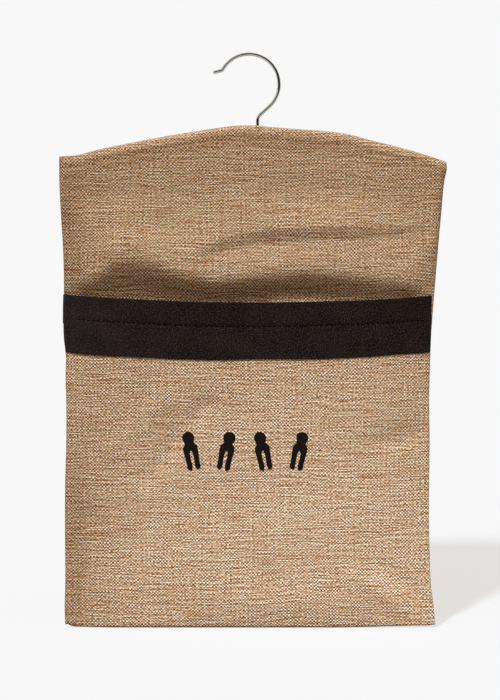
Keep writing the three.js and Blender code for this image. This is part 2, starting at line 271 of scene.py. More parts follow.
# %% Curves of the crease, the roll and the tuck
crease_line = through(
    (-75, -190), (-34, -180), (-8, -172), (20, -168.4), (66, -166.4), (154, -163), (184, -161.5),
)
crease_sharp = through((-70, 0), (-50, 0.2), (-36, 0.8), (0, 1), (110, 1), (150, 0.6), (176, 0))
roll_crest = through(
    (-176, -219), (-166, -214), (-152, -207), (-140, -201), (-131, -193), (-122, -186),
    (-106, -184.5), (-90, -189), (-55, -202.5), (-36, -207.5), (0, -203), (47, -197), (112, -203),
    (150, -211), (176, -221),
)
roll_height = through(
    (-176, 0), (-166, 1.2), (-142, 6), (-120, 8), (-90, 7), (-50, 5.8), (0, 6.6), (50, 7.4),
    (110, 6.4), (150, 3.8), (170, 1), (176, 0),
)
tuck_share = through(
    (-176, 0.72), (-110, 0.72), (-70, 0.86), (-30, 1), (60, 1), (120, 0.85), (176, 0.85),
)
fall_in = through((-300, 8.5), (-200, 8.5), (-165, 7.0), (-130, 6.3), (-106, 6.6), (-60, 6.6))
print("roll comes forward", round(float(roll_height(50.0)), 1), "mm at its fullest")

# %% Fold and crease of the upper front panel
ROLL_START = -130
TUCKED_AT = -230
TUCK_SPREAD = 0.7
LOW_ROLL = 3.0
CREASE_STEP = 4.8
CREASE_WIDE = 17.0
DENT = ((-138, -158), (-78, -161), 12, -2.0)


def flap_fold(x, z):
    """The roll's rise down to its crest, less the tuck that takes the cloth in behind the band."""
    crest, height = roll_crest(x), roll_height(x)
    rise = np.sin(math.pi / 2 * np.clip((ROLL_START - z) / (ROLL_START - crest), 0, 1))
    under = np.clip(crest - z, 0, None)
    reach = TUCK_SPREAD * (crest - TUCKED_AT)
    tuck = tuck_share(x) * reach * (1 - np.exp(-((under / reach) ** 2))) * ease(height / LOW_ROLL)
    return height * rise - tuck


def flap_crease(x, z):
    """The step back along the crease, and a shallow dent over the deeper fold on the left."""
    step = -CREASE_STEP * crease_sharp(x) * ease((crease_line(x) - z) / CREASE_WIDE + 0.5)
    return step + crease(x, z, *DENT)


print("tuck takes the hem", round(-float(flap_fold(0.0, HEM)), 1), "mm back at the middle")

# %% Depth of the upper front panel
DEEPEST, STOP_SHARP = 3.5, 1.2
ALLOWANCE, ALLOWANCE_DOWN, ALLOWANCE_WIDE = 0.5, 12, 2.4
FLAP_RIPPLE = 0.9, (23, 31, 0), (57, -19, 1)
RIPPLE_Z, RIPPLE_RUN = -100, 40
CRISP_PASSES, SOFT_PASSES = 6, 16
SOFT_X, SOFT_RUN = -80, 70
LOOSE_SIDE = 26
BAND_ROOM, BAND_ROOM_Z, BAND_ROOM_RUN, BAND_ROOM_SIDE = 5.5, -203, 25, 40


def blurred(field, passes):
    """Cloth does not crease like paper: each pass averages a place with its neighbours."""
    for _ in range(passes):
        inner = field.copy()
        inner[1:-1] = (field[:-2] + 2 * field[1:-1] + field[2:]) / 4
        field = inner.copy()
        field[:, 1:-1] = (inner[:, :-2] + 2 * inner[:, 1:-1] + inner[:, 2:]) / 4
    return field


def flap_y(u, z):
    x = side_x(u, z)
    side = from_side(u, z)
    drop = head_z(u) - z
    over_bar = rounded(drop, BAR_ROUND) * side_round(u, z)
    under_seam = np.exp(-(((drop - ALLOWANCE_DOWN) / ALLOWANCE_WIDE) ** 2))
    allowance = ALLOWANCE * under_seam * side_round(u, z)
    bumps = ripple(x, z, *FLAP_RIPPLE) * ease((RIPPLE_Z - z) / RIPPLE_RUN)
    fold = flap_fold(x, z)
    # A sheet's grid is blurred, less on the left, where the fold is crisper.
    if np.ndim(x) == 2:
        crisp, soft = blurred(fold, CRISP_PASSES), blurred(fold, SOFT_PASSES)
        fold = crisp + (soft - crisp) * ease((x - SOFT_X) / SOFT_RUN)
    loose = (fold + flap_crease(x, z) + bumps) * ease(side / LOOSE_SIDE)
    room = BAND_ROOM * ease((BAND_ROOM_Z - z) / BAND_ROOM_RUN) * (1 - ease(side / BAND_ROOM_SIDE))
    body = (fall_in(z) - room) * over_bar + loose - allowance
    depth = -lip(u, z, bottom=False) - body
    return DEEPEST - np.logaddexp(0, STOP_SHARP * (DEEPEST - depth)) / STOP_SHARP


flap_at = -float(flap_y(np.array(0.5), np.array(-150.0)))
print("upper front stands", round(flap_at, 1), "mm before the seams")

# %% [markdown]
# ## The pocket and its band
# The pocket's sheet bows forward between the side seams, most at the mouth and least at the bottom seam.
# The band lies on its upper edge. Its depth is the pocket's and a little more, so they never cut each
# other.

# %% Depth of the pocket
MOUTH = -222.3
MOUTH_DEPTH = 26.0
FULL_AT_FOOT = 0.12
BOW_SQUARE = 2.4
POCKET_FOOT = 36
FLAP_ROOM, FLAP_ROOM_Z, FLAP_ROOM_RUN, FLAP_ROOM_SIDE = 1.6, -420, 130, 5
POCKET_RIPPLE = 0.5, (29, -37, 0), (71, 23, 0.6)
FOLDS_SIDE, FOLDS_RUN = 18, 25
POCKET_FOLDS = (
    ((-34, -318), (-100, -398), 10, -2.0),
    ((-70, -312), (-128, -372), 12, 1.3),
    ((112, -362), (166, -350), 11, -1.8),
    ((96, -478), (150, -522), 9, 1.2),
    ((118, -470), (164, -505), 8, -1.0),
    ((-150, -420), (-152, -526), 8, -1.2),
    ((-20, -505), (60, -512), 14, 0.8),
)


def pocket_y(u, z):
    x = side_x(u, z)
    side = from_side(u, z)
    room = FLAP_ROOM * ease((z - FLAP_ROOM_Z) / FLAP_ROOM_RUN) * rounded(side, FLAP_ROOM_SIDE)
    fullness = FULL_AT_FOOT + (1 - FULL_AT_FOOT) * (z - BOTTOM) / (MOUTH - BOTTOM)
    arch = 1 - np.abs(2 * u - 1) ** BOW_SQUARE
    bow = MOUTH_DEPTH * fullness * arch * rounded(z - foot_z(u), POCKET_FOOT)
    soft = ripple(x, z, *POCKET_RIPPLE) + sum(crease(x, z, *fold) for fold in POCKET_FOLDS)
    soft = soft * ease(side / FOLDS_SIDE) * ease((z - BOTTOM) / FOLDS_RUN)
    return -lip(u, z, top=False) - room - bow - soft


belly_at = -float(pocket_y(np.array(0.5), np.array(-400.0)))
print("pocket stands", round(belly_at, 1), "mm before the seams at its belly")

# %% Depth of the band
STITCH_DROP = 22.0
BAND_PROUD, BAND_SIDE = 1.0, 4
PUCKER = 0.25, (1.9, np.inf, 0), (7.3, np.inf, 0.8)
PUCKER_WIDE = 7
GROOVE, GROOVE_WIDE = 0.6, 1.3
GROOVE_FROM_SIDE, GROOVE_RUN = 4.2, 14
SWAY = 0.8, (19, 9, 0), (43, np.inf, -1)
SWAY_SIDE, SWAY_RUN = 22, 20
band_top = through(
    (0, -221.4), (0.05, -223.3), (0.23, -227.4), (0.41, -229.8), (0.54, -230.0), (0.68, -229.1),
    (0.81, -227.7), (0.9, -226.0), (1, -223.0),
)
band_foot = through(
    (0, -275.0), (0.05, -277.5), (0.14, -279.2), (0.23, -280.7), (0.34, -282.2), (0.41, -282.6),
    (0.54, -281.8), (0.68, -281.8), (0.81, -280.0), (0.9, -277.8), (1, -275.7),
)


def topstitch_z(u):
    return band_top(u) - STITCH_DROP


def band_y(u, z):
    x = side_x(u, z)
    side = from_side(u, z)
    line = z - topstitch_z(u)
    pucker = ripple(x, z, *PUCKER) * np.exp(-((line / PUCKER_WIDE) ** 2))
    groove = GROOVE * np.exp(-((line / GROOVE_WIDE) ** 2)) - pucker
    groove = groove * ease((side - GROOVE_FROM_SIDE) / GROOVE_RUN)
    loose = ease(side / SWAY_SIDE) * ease((z - band_foot(u)) / SWAY_RUN)
    sway = ripple(x, z, *SWAY) * loose
    return pocket_y(u, z) - BAND_PROUD * rounded(side, BAND_SIDE) + groove - sway


mouth_at = -float(band_y(np.array(0.5), np.array(-230.0)))
print("mouth stands", round(mouth_at, 1), "mm before the seams")

# %% [markdown]
# ## From depth to cloth
# A sheet is a grid of places. Its UV map is the cloth laid flat, in metres: the threads run level and
# upright, and cloth that turns away round an edge adds the depth it covers, so that the weave is not
# stretched there. A float attribute on a sheet holds painted shade: it darkens the colour near the left
# side and below the top seam, where seam allowances lie behind the face, and fades out further in. A
# live Solidify gives the thickness, inwards from the face.

# %% Make a sheet of cloth
TURNED = 14.0


def added(name, data):
    """An object for the data, put in the scene."""
    thing = bpy.data.objects.new(name, data)
    bpy.context.collection.objects.link(thing)
    return thing


def round_edge(depth, along, axis):
    """Length that does not show from the front, gained near both ends and counted from the middle."""
    first, last = along.take([0], axis), along.take([-1], axis)
    near_end = np.minimum(along - first, last - along) < TURNED
    steps = np.diff(along, axis=axis, prepend=first)
    rises = np.diff(depth, axis=axis, prepend=depth.take([0], axis))
    total = np.cumsum((np.hypot(steps, rises) - steps) * near_end, axis=axis)
    return total - total.take([depth.shape[axis] // 2], axis)


def cloth(name, x, y, z, thickness, faces_back=False, flat_z=None, painted_allowance_shade=None):
    """A sheet from grids of places in millimetres; flat_z is its own flat height where it folds over."""
    rows, columns = x.shape
    place = np.stack([x, y, z], axis=-1) * MM
    number = np.arange(rows * columns).reshape(rows, columns)
    quads = np.stack([number[:-1, :-1], number[:-1, 1:], number[1:, 1:], number[1:, :-1]], axis=-1)
    quads = quads.reshape(-1, 4)
    if faces_back:
        quads = quads[:, ::-1]
    mesh = bpy.data.meshes.new(name)
    mesh.from_pydata(place.reshape(-1, 3).tolist(), [], quads.tolist())
    flat_x = x + round_edge(y, x, 1)
    if flat_z is None:
        flat_z = z + round_edge(y, z, 0)
    flat = np.stack([flat_x, flat_z], axis=-1).reshape(-1, 2) * MM
    layer = mesh.uv_layers.new(name="weave")
    layer.data.foreach_set("uv", flat[quads.reshape(-1)].reshape(-1).astype(np.float32))
    # Painted shade: a mask from 0 to 1 by which the hessian finish darkens the colour.
    if painted_allowance_shade is not None:
        layers = mesh.attributes.new("painted_allowance_shade", "FLOAT", "POINT")
        layers.data.foreach_set("value", painted_allowance_shade.reshape(-1).astype(np.float32))
    mesh.polygons.foreach_set("use_smooth", np.ones(len(quads), bool))
    piece = added(name, mesh)
    wall = piece.modifiers.new("thickness", "SOLIDIFY")
    wall.thickness = thickness * MM
    wall.offset = -1
    wall.use_quality_normals = True
    print(name, len(quads), "faces")
    return piece


# %% [markdown]
# ## The four pieces of cloth
# Back, upper front, pocket front and band are cut and sewn separately, so they are four sheets. The
# upper front ends in a hem out of sight behind the band. The band is one strip folded over at the
# mouth: up the front, round a tight fold, and half way down the inside.

# %% Painted shade along the seam allowances
SIDE_STRIP, SIDE_NEAR, SIDE_FAR = 8, 24, 75
TOP_STRIP, TOP_STRIP_WIDE = 14, 6


def allowance_shade(u, z, left, top):
    """Painted shade from 0 to 1: full within the left seam allowance and fading out over some 80 mm, and
    a band below the top seam where its allowance lies.
    """
    inwards = u * width_at(z) - SIDE_STRIP
    beside = left * (1 - 0.5 * ease(inwards / SIDE_NEAR) - 0.5 * ease(inwards / SIDE_FAR))
    below = top * np.exp(-(((head_z(u) - z - TOP_STRIP) / TOP_STRIP_WIDE) ** 2))
    return np.maximum(beside, below)


print("side allowance shows", SIDE_STRIP, "mm in, top allowance", TOP_STRIP, "mm down")

# %% Back, upper front and pocket front
TIGHT = 0.85
COLUMNS, BACK_ROWS, FLAP_ROWS, POCKET_ROWS = 151, 201, 111, 126
LAP = 7.0
CORNER_IN, CORNER_Z, CORNER_RUN, CORNER_SHARE = 2.2, -214, 10, 0.125
# Strength of the painted shade on the upper front, at its left side and below its top seam, less to the
# right, and on the pocket's left side, more towards its foot.
FLAP_SIDE_SHADE, FLAP_TOP_SHADE = 0.6, 0.65
LESS_TOP_SHADE, LESS_TOP_SHADE_FROM, LESS_TOP_SHADE_RUN = 0.35, 0.6, 0.2
POCKET_SIDE_SHADE, POCKET_SHADE_Z, POCKET_SHADE_RUN = 0.9, -320, 105

across = shares(COLUMNS, TIGHT, TIGHT)
u, z = lattice(across, shares(BACK_ROWS, TIGHT, TIGHT), foot_z, head_z)
back = cloth("back_cloth", side_x(u, z), back_y(u, z), z, CLOTH, faces_back=True)

# The flap's lower left corner is drawn in, so that it stays hidden by the band.
u, z = lattice(across, shares(FLAP_ROWS, 0, TIGHT), lambda u: np.full_like(u, HEM), head_z)
drawn_in = CORNER_IN * ease((CORNER_Z - z) / CORNER_RUN) * ease(1 - u / CORNER_SHARE)
top_shade = FLAP_TOP_SHADE - LESS_TOP_SHADE * ease((u - LESS_TOP_SHADE_FROM) / LESS_TOP_SHADE_RUN)
strip = allowance_shade(u, z, FLAP_SIDE_SHADE, top_shade)
upper = cloth("upper_front_cloth", side_x(u, z) + drawn_in, flap_y(u, z), z, CLOTH, painted_allowance_shade=strip)

u, z = lattice(across, shares(POCKET_ROWS, TIGHT, 0), foot_z, lambda u: band_foot(u) + LAP)
strip = allowance_shade(u, z, POCKET_SIDE_SHADE * ease((POCKET_SHADE_Z - z) / POCKET_SHADE_RUN), 0.0)
pocket = cloth("pocket_cloth", side_x(u, z), pocket_y(u, z), z, CLOTH, painted_allowance_shade=strip)

# %% The folded band
FOLD = 0.95
BAND_CLOTH = 0.8
FRONT, TURN, INSIDE = 66, 7, 24
INNER_END = 0.5
SHORT, SHORT_Z, SHORT_RUN = 2.8, -272, 52
turn = np.linspace(0, math.pi, TURN + 2)[1:-1]
height = np.concatenate([np.linspace(0, 1, FRONT), np.ones(TURN), np.linspace(1, INNER_END, INSIDE)])
over = np.concatenate([np.zeros(FRONT), FOLD * np.sin(turn), np.zeros(INSIDE)])
behind = np.concatenate([np.zeros(FRONT), FOLD - FOLD * np.cos(turn), np.full(INSIDE, 2 * FOLD)])
u = np.tile(across, (len(height), 1))
z = band_foot(u) + (band_top(u) - FOLD - band_foot(u)) * height[:, None] + over[:, None]
short = SHORT * ease((z - SHORT_Z) / SHORT_RUN)
inset = side_x(u, z) - short * ease((u - 0.5) * 2)
band_depth = band_y(share_at(inset, z), z) + behind[:, None]
past_fold = (np.arange(len(height)) >= FRONT + TURN)[:, None]
unrolled = np.where(past_fold, 2 * band_top(u) - z, z)
band = cloth("mouth_band_cloth", inset, band_depth, z, BAND_CLOTH, flat_z=unrolled)

# %% [markdown]
# ## Rows of stitches
# Real stitches are short lengths of thread with a gap between them. A Geometry Nodes tree walks along a
# path, puts a point at every stitch and an egg-shaped bit of thread at every point. Length, spacing and
# thread size are inputs of the tree, so one tree sews every seam of the bag. All the trees of this
# lesson, for shapes and for finishes, are built with one small function that adds a node and links it
# up.


# %% One function that adds a node
def linear(code):
    """The hex value that a screen shows, as the linear numbers that a renderer adds up."""
    parts = [int(code[i:i + 2], 16) / 255 for i in (1, 3, 5)]
    return [p / 12.92 if p <= 0.04045 else ((p + 0.055) / 1.055) ** 2.4 for p in parts] + [1]


def connect(tree, made, inputs):
    """Sets a node's inputs. Each takes a value, a socket or another node's first output."""
    for key, value in dict(inputs).items():
        if isinstance(value, bpy.types.Node):
            value = value.outputs[0]
        if isinstance(value, bpy.types.NodeSocket):
            tree.links.new(value, made.inputs[key])
        else:
            made.inputs[key].default_value = value


def node(tree, kind, inputs=(), stops=(), **settings):
    """Adds a node with its settings and links; stops colour a ramp."""
    made = tree.nodes.new(kind)
    for name, value in settings.items():
        setattr(made, name, value)
    connect(tree, made, inputs)
    for i, (position, code) in enumerate(stops):
        marks = made.color_ramp.elements
        mark = marks[i] if i < len(marks) else marks.new(position)
        mark.position = position
        mark.color = linear(code)
    return made


print("white is", linear("#ffffff"))


# %% The stitching tree
def tree_with_inputs(name, inputs):
    """A tree that takes a path and the named inputs and gives a mesh."""
    tree = bpy.data.node_groups.new(name, "GeometryNodeTree")
    tree.interface.new_socket("Path", in_out="INPUT", socket_type="NodeSocketGeometry")
    for label, kind in inputs:
        tree.interface.new_socket(label, in_out="INPUT", socket_type=kind)
    tree.interface.new_socket("Mesh", in_out="OUTPUT", socket_type="NodeSocketGeometry")
    return tree, node(tree, "NodeGroupInput").outputs


def finished(tree, shape, material):
    """The end of a tree: instances become one smooth mesh with its material."""
    real = node(tree, "GeometryNodeRealizeInstances", {0: shape})
    smooth = node(tree, "GeometryNodeSetShadeSmooth", {0: real})
    dyed = node(tree, "GeometryNodeSetMaterial", {"Geometry": smooth, "Material": material})
    node(tree, "NodeGroupOutput", {0: dyed})
    return tree


def stitching_tree():
    tree, given = tree_with_inputs("stitching", [
        ("Spacing", "NodeSocketFloat"), ("Length", "NodeSocketFloat"),
        ("Thread", "NodeSocketFloat"), ("Finish", "NodeSocketMaterial"),
    ])
    line = node(tree, "GeometryNodeMeshToCurve", {"Mesh": given["Path"]})
    spaced = {"Curve": line, "Length": given["Spacing"]}
    points = node(tree, "GeometryNodeResampleCurve", spaced, mode="LENGTH")
    tangent = node(tree, "GeometryNodeInputTangent")
    turned = node(tree, "FunctionNodeAlignRotationToVector", {"Vector": tangent}, axis="X")
    thread = given["Thread"]
    size = node(tree, "ShaderNodeCombineXYZ", {"X": given["Length"], "Y": thread, "Z": thread})
    bead = node(tree, "GeometryNodeMeshIcoSphere", {"Radius": 0.5, "Subdivisions": 2})
    sewn = node(tree, "GeometryNodeInstanceOnPoints", {
        "Points": points, "Instance": bead, "Rotation": turned, "Scale": size,
    })
    return finished(tree, sewn, given["Finish"])


def from_tree(name, tree, places, values, radius=None):
    """Runs a tree along a path of places in millimetres and keeps the result as a plain mesh."""
    path = bpy.data.meshes.new(name + "_path")
    steps = [(i, i + 1) for i in range(len(places) - 1)]
    path.from_pydata((np.array(places) * MM).tolist(), steps, [])
    if radius is not None:
        thick = path.attributes.new("thick", "FLOAT", "POINT")
        thick.data.foreach_set("value", (np.array(radius) * MM).astype(np.float32))
    maker = added(name + "_path", path)
    modifier = maker.modifiers.new("make", "NODES")
    modifier.node_group = tree
    for socket in tree.interface.items_tree:
        if socket.in_out == "INPUT" and socket.name in values:
            modifier[socket.identifier] = values[socket.name]
    made = bpy.data.meshes.new_from_object(maker.evaluated_get(bpy.context.evaluated_depsgraph_get()))
    made.name = name
    bpy.data.objects.remove(maker)
    print(name, len(made.polygons), "faces")
    return added(name, made)


stitching = stitching_tree()
print(stitching.name, len(stitching.nodes), "nodes")

# %% [markdown]
# ## Finishes
# Each finish starts from the real material, and its pattern is worked out from a real size: a spacing of
# threads, a patch or a grain in millimetres. Cloth finishes read the sheet's own UV map, so the pattern
# moves with the cloth.

# %% Short names for the nodes used most
MATH = "ShaderNodeMath"
VECTOR = "ShaderNodeVectorMath"
NOISE = "ShaderNodeTexNoise"
RAMP = "ShaderNodeValToRGB"
MIX = "ShaderNodeMix"
# The colour sockets of a Mix node: two inputs and an output.
COLOUR_A, COLOUR_B, MIXED = 6, 7, 2
MULTIPLY_COLOURS = {"data_type": "RGBA", "blend_type": "MULTIPLY"}
ADD_COLOURS = {"data_type": "RGBA", "blend_type": "ADD"}


def finish(name):
    """A new material, its tree and its shader."""
    material = bpy.data.materials.new(name)
    material.use_nodes = True
    return material, material.node_tree, material.node_tree.nodes["Principled BSDF"]


print("nodes used most:", MATH, VECTOR, NOISE, RAMP, MIX)

# %% [markdown]
# ### Hessian
# Plain-woven jute: every weft thread goes over one warp thread and under the next, so the cloth is a
# chequer of small bumps. The real threads are about 1.4 mm apart; they are drawn at 1.5 mm, as fine as a
# picture of the whole bag can hold. Hand-spun jute is uneven. Single threads are redder, paler or
# thicker for a few centimetres, mostly along the weft, in streaks of fibre that are finer than the
# thread. The chequer is the product of two sines, one for each direction of thread, and it also raises
# the bumps. Whole numbers of threads pick each thread's own tint, and chance at each crossing, set
# against its neighbours, breaks up the chequer.

# %% Weave patterns
WARP_MM, WEFT_MM = 1.52, 1.49
HESSIAN_STRAY = (4.0, 6.0)
WAVER_MM = 83.33
WAVER = {"Scale": 1 / (WAVER_MM * MM), "Detail": 5.0, "Roughness": 0.58}


def woven(tree, warp_mm, weft_mm, stray):
    """Thread counts across and up a sheet, which waver by the stray, the chequer and its open gaps."""
    place = node(tree, "ShaderNodeUVMap", uv_map="weave")
    waver = node(tree, NOISE, {"Vector": place, **WAVER}, noise_dimensions="2D")
    shift = node(tree, VECTOR, {0: waver.outputs["Color"], 1: (0.5, 0.5, 0.5)}, operation="SUBTRACT")
    per_metre = (1 / (warp_mm * MM), 1 / (weft_mm * MM), 0)
    counted = node(tree, VECTOR, {0: place, 1: per_metre}, operation="MULTIPLY")
    moved = node(tree, VECTOR, {0: shift, 1: (*stray, 0), 2: counted}, operation="MULTIPLY_ADD")
    counts = node(tree, "ShaderNodeSeparateXYZ", {0: moved}).outputs[:2]
    waves, gaps = [], []
    for count in counts:
        angle = node(tree, MATH, {0: count, 1: math.pi}, operation="MULTIPLY")
        waves.append(node(tree, MATH, {0: angle}, operation="SINE"))
        height = node(tree, MATH, {0: waves[-1]}, operation="ABSOLUTE")
        gaps.append(node(tree, MATH, {0: 1.0, 1: height}, operation="SUBTRACT"))
    chequer = node(tree, MATH, {0: waves[0], 1: waves[1]}, operation="MULTIPLY")
    return counts, chequer, node(tree, MATH, {0: gaps[0], 1: gaps[1]}, operation="MULTIPLY")


print("hessian threads to a metre:", round(1 / (WARP_MM * MM)), "by", round(1 / (WEFT_MM * MM)))

# %% Chance from thread to thread
THREADS_APART = 3.7
CROSSINGS = ((0, 0, 1.0), (1, 0, -1.0), (0, 1, -1.0), (1, 1, 1.0))


def thread_noise(tree, along, number, stretch, seed):
    """Noise that runs along one thread and starts afresh on the next."""
    run = node(tree, MATH, {0: along, 1: stretch}, operation="MULTIPLY")
    whole = node(tree, MATH, {0: number}, operation="FLOOR")
    apart = node(tree, MATH, {0: whole, 1: THREADS_APART}, operation="MULTIPLY")
    own = node(tree, "ShaderNodeCombineXYZ", {"X": run, "Y": apart, "Z": seed})
    return node(tree, NOISE, {"Vector": own, "Scale": 1.0, "Detail": 2.0})


def beside_next(tree, along, number, stretch, seed):
    """How much paler a thread is than the next: cloth is uneven by the thread, and even as a whole."""
    own = thread_noise(tree, along, number, stretch, seed)
    next_number = node(tree, MATH, {0: number, 1: 1.0}, operation="ADD")
    following = thread_noise(tree, along, next_number, stretch, seed)
    return node(tree, MATH, {0: own, 1: following}, operation="SUBTRACT")


def speckle(tree, numbers):
    """Chance at each crossing less its neighbours': uneven close to, even from further off."""
    knot = node(tree, "ShaderNodeCombineXYZ", {"X": numbers[0], "Y": numbers[1]})
    total = 0.0
    for right, up, sign in CROSSINGS:
        beside = node(tree, VECTOR, {0: knot, 1: (right, up, 0)}, operation="ADD")
        chance = node(tree, "ShaderNodeTexWhiteNoise", {"Vector": beside}, noise_dimensions="2D")
        total = node(tree, MATH, {0: chance, 1: sign, 2: total}, operation="MULTIPLY_ADD")
    return total


def weighed(tree, *parts):
    """0.5 plus each (value, middle, weight): how pale the cloth is at one place."""
    total = 0.5
    for value, middle, weight in parts:
        share = node(tree, MATH, {0: value, 1: weight, 2: -middle * weight}, operation="MULTIPLY_ADD")
        total = node(tree, MATH, {0: share, 1: total}, operation="ADD")
    return total


print("chance at a crossing is set against", len(CROSSINGS) - 1, "neighbours")

# %% Hessian finish
STREAKS_TO_A_WEFT = 1.45
SLUB_MM, STRIPE_MM, DYE_MM = 25.33, 29.8, 30.4
SLUB_SEED, STRIPE_SEED, DYE_SEED = 3.0, 9.0, 21.0
CHEQUER_WEIGHT, SLUB_WEIGHT, STRIPE_WEIGHT, UNEVEN_WEIGHT = 0.4, 1.15, 0.42, 0.25
MEAN_GAP, GAP_WEIGHT = 0.1, -0.5
JUTE_TONES = (
    (0.0, "#4e2e06"), (0.25, "#8c6e4a"), (0.5, "#c4a381"), (0.75, "#e8d0b2"), (1.0, "#fff5e9"),
)
JUTE_DYES = (0.32, "#ead2c2"), (0.46, "#ffffff"), (0.56, "#ffffff"), (0.68, "#f1f3e8")
PAINTED_SHADE_TONES = (0.0, "#ffffff"), (1.0, "#d8d0c8")


def hessian():
    material, tree, shader = finish("hessian_plain_weave")
    (warp, weft), chequer, gaps = woven(tree, WARP_MM, WEFT_MM, HESSIAN_STRAY)
    streaks = node(tree, MATH, {0: weft, 1: STREAKS_TO_A_WEFT}, operation="MULTIPLY")
    slub = beside_next(tree, warp, streaks, WARP_MM / SLUB_MM, SLUB_SEED)
    stripe = beside_next(tree, weft, warp, WEFT_MM / STRIPE_MM, STRIPE_SEED)
    uneven = speckle(tree, [node(tree, MATH, {0: count}, operation="FLOOR") for count in (warp, weft)])
    # The chequer and the open gaps are partly the threads' own tones and partly painted shade: the low
    # side of each crossing and the gaps between threads are darkened in the colour, as shade darkens
    # them on the real cloth.
    pale = weighed(
        tree, (chequer, 0, CHEQUER_WEIGHT), (slub, 0, SLUB_WEIGHT), (stripe, 0, STRIPE_WEIGHT),
        (uneven, 0, UNEVEN_WEIGHT), (gaps, MEAN_GAP, GAP_WEIGHT),
    )
    tone = node(tree, RAMP, {0: pale}, JUTE_TONES)
    dye = node(tree, RAMP, {0: thread_noise(tree, warp, weft, WARP_MM / DYE_MM, DYE_SEED)}, JUTE_DYES)
    # Painted shade: where the sheet's allowance mask is set, the colour is darkened towards #d8d0c8.
    layers = node(tree, "ShaderNodeAttribute", attribute_name="painted_allowance_shade")
    dim = node(tree, RAMP, {0: layers.outputs["Fac"]}, PAINTED_SHADE_TONES)
    dyed = node(tree, MIX, {0: 1.0, COLOUR_A: tone, COLOUR_B: dye}, **MULTIPLY_COLOURS)
    colour = node(tree, MIX, {0: 1.0, COLOUR_A: dyed.outputs[MIXED], COLOUR_B: dim}, **MULTIPLY_COLOURS)
    raised = node(tree, MATH, {0: chequer, 1: gaps}, operation="SUBTRACT")
    bump = node(tree, "ShaderNodeBump", {"Strength": 0.6, "Distance": 0.4 * MM, "Height": raised})
    connect(tree, shader, {
        "Base Color": colour.outputs[MIXED], "Normal": bump,
        "Roughness": 0.95, "Specular IOR Level": 0.2,
    })
    return material


jute = hessian()
for sheet in (back, upper, pocket):
    sheet.data.materials.append(jute)
print(jute.name, len(jute.node_tree.nodes), "nodes")

# %% [markdown]
# ### Black cotton
# The band is a plain cotton drill, dyed black. Its threads are about half a millimetre apart, too fine
# for the picture, so the weave is drawn at 0.9 mm. What the eye sees is matt black with paler lint
# caught in the nap and a faint cloudiness where the cloth has been handled. Towards the left end a
# grey is added to the colour: that is painted sheen, light glancing off the cloth there.

# %% Cotton finish
COTTON_MM = 0.9
COTTON_STRAY = (4.0, 4.0)
CLOUD_MM, NAP_MM = 18.18, 1.1765
# Painted sheen: a grey added to the band's colour, full at the left end and gone 60 mm left of the
# middle.
SHEEN_END, SHEEN_UNTIL = -0.172, -0.06
PAINTED_SHEEN = "#131416"
COTTON_TONES = (0.0, "#060404"), (1.0, "#211a18")
CLOUD_TONES = (0.35, "#bcb8b6"), (0.65, "#ffffff")
LINT_TONES = (0.52, "#000000"), (0.8, "#473d3b")


def black_cotton():
    material, tree, shader = finish("black_cotton_drill")
    _, chequer, _ = woven(tree, COTTON_MM, COTTON_MM, COTTON_STRAY)
    level = node(tree, MATH, {0: chequer, 1: 0.5, 2: 0.5}, operation="MULTIPLY_ADD")
    tone = node(tree, RAMP, {0: level}, COTTON_TONES)
    place = node(tree, "ShaderNodeUVMap", uv_map="weave")
    patches = {"Vector": place, "Scale": 1 / (CLOUD_MM * MM), "Detail": 3.0}
    handled = node(tree, NOISE, patches, noise_dimensions="2D")
    cloud = node(tree, RAMP, {0: handled}, CLOUD_TONES)
    tufts = {"Vector": place, "Scale": 1 / (NAP_MM * MM), "Detail": 2.0}
    nap = node(tree, NOISE, tufts, noise_dimensions="2D")
    lint = node(tree, RAMP, {0: nap}, LINT_TONES)
    worn = node(tree, MIX, {0: 1.0, COLOUR_A: tone, COLOUR_B: cloud}, **MULTIPLY_COLOURS)
    linty = node(tree, MIX, {0: 1.0, COLOUR_A: worn.outputs[MIXED], COLOUR_B: lint}, **ADD_COLOURS)
    along = node(tree, "ShaderNodeSeparateXYZ", {0: place})
    # Painted sheen: the grey goes in full at the left end and fades out along the band.
    sheen_share = node(tree, "ShaderNodeMapRange", {
        "Value": along, "From Min": SHEEN_END, "From Max": SHEEN_UNTIL, "To Min": 1.0, "To Max": 0.0,
    })
    with_sheen = {0: sheen_share, COLOUR_A: linty.outputs[MIXED], COLOUR_B: linear(PAINTED_SHEEN)}
    colour = node(tree, MIX, with_sheen, **ADD_COLOURS)
    bump = node(tree, "ShaderNodeBump", {"Strength": 0.3, "Distance": 0.2 * MM, "Height": chequer})
    connect(tree, shader, {
        "Base Color": colour.outputs[MIXED], "Normal": bump,
        "Roughness": 0.85, "Specular IOR Level": 0.15,
    })
    return material


cotton = black_cotton()
band.data.materials.append(cotton)
print(cotton.name, len(cotton.node_tree.nodes), "nodes")

# %% [markdown]
# ### Thread, wood and wire
# Sewing thread is two or three yarns twisted together, so a fine slanting stripe shows its ply. The bar
# is plain planed softwood with the grain running along it. The hook is nickel-plated steel wire: a
# bright, slightly warm grey metal, nearly smooth, with faint cloudy marks in its plating.

# %% Thread, wood and wire finishes
PLY_MM = 0.698
GRAIN_MM, GRAIN_TIMES_LONGER = 4.17, 10
MARKS_MM = 3.846
# At scale 1, the diagonal bands of a wave texture cross a level line this many metres apart.
WAVE_BAND = math.pi / 5


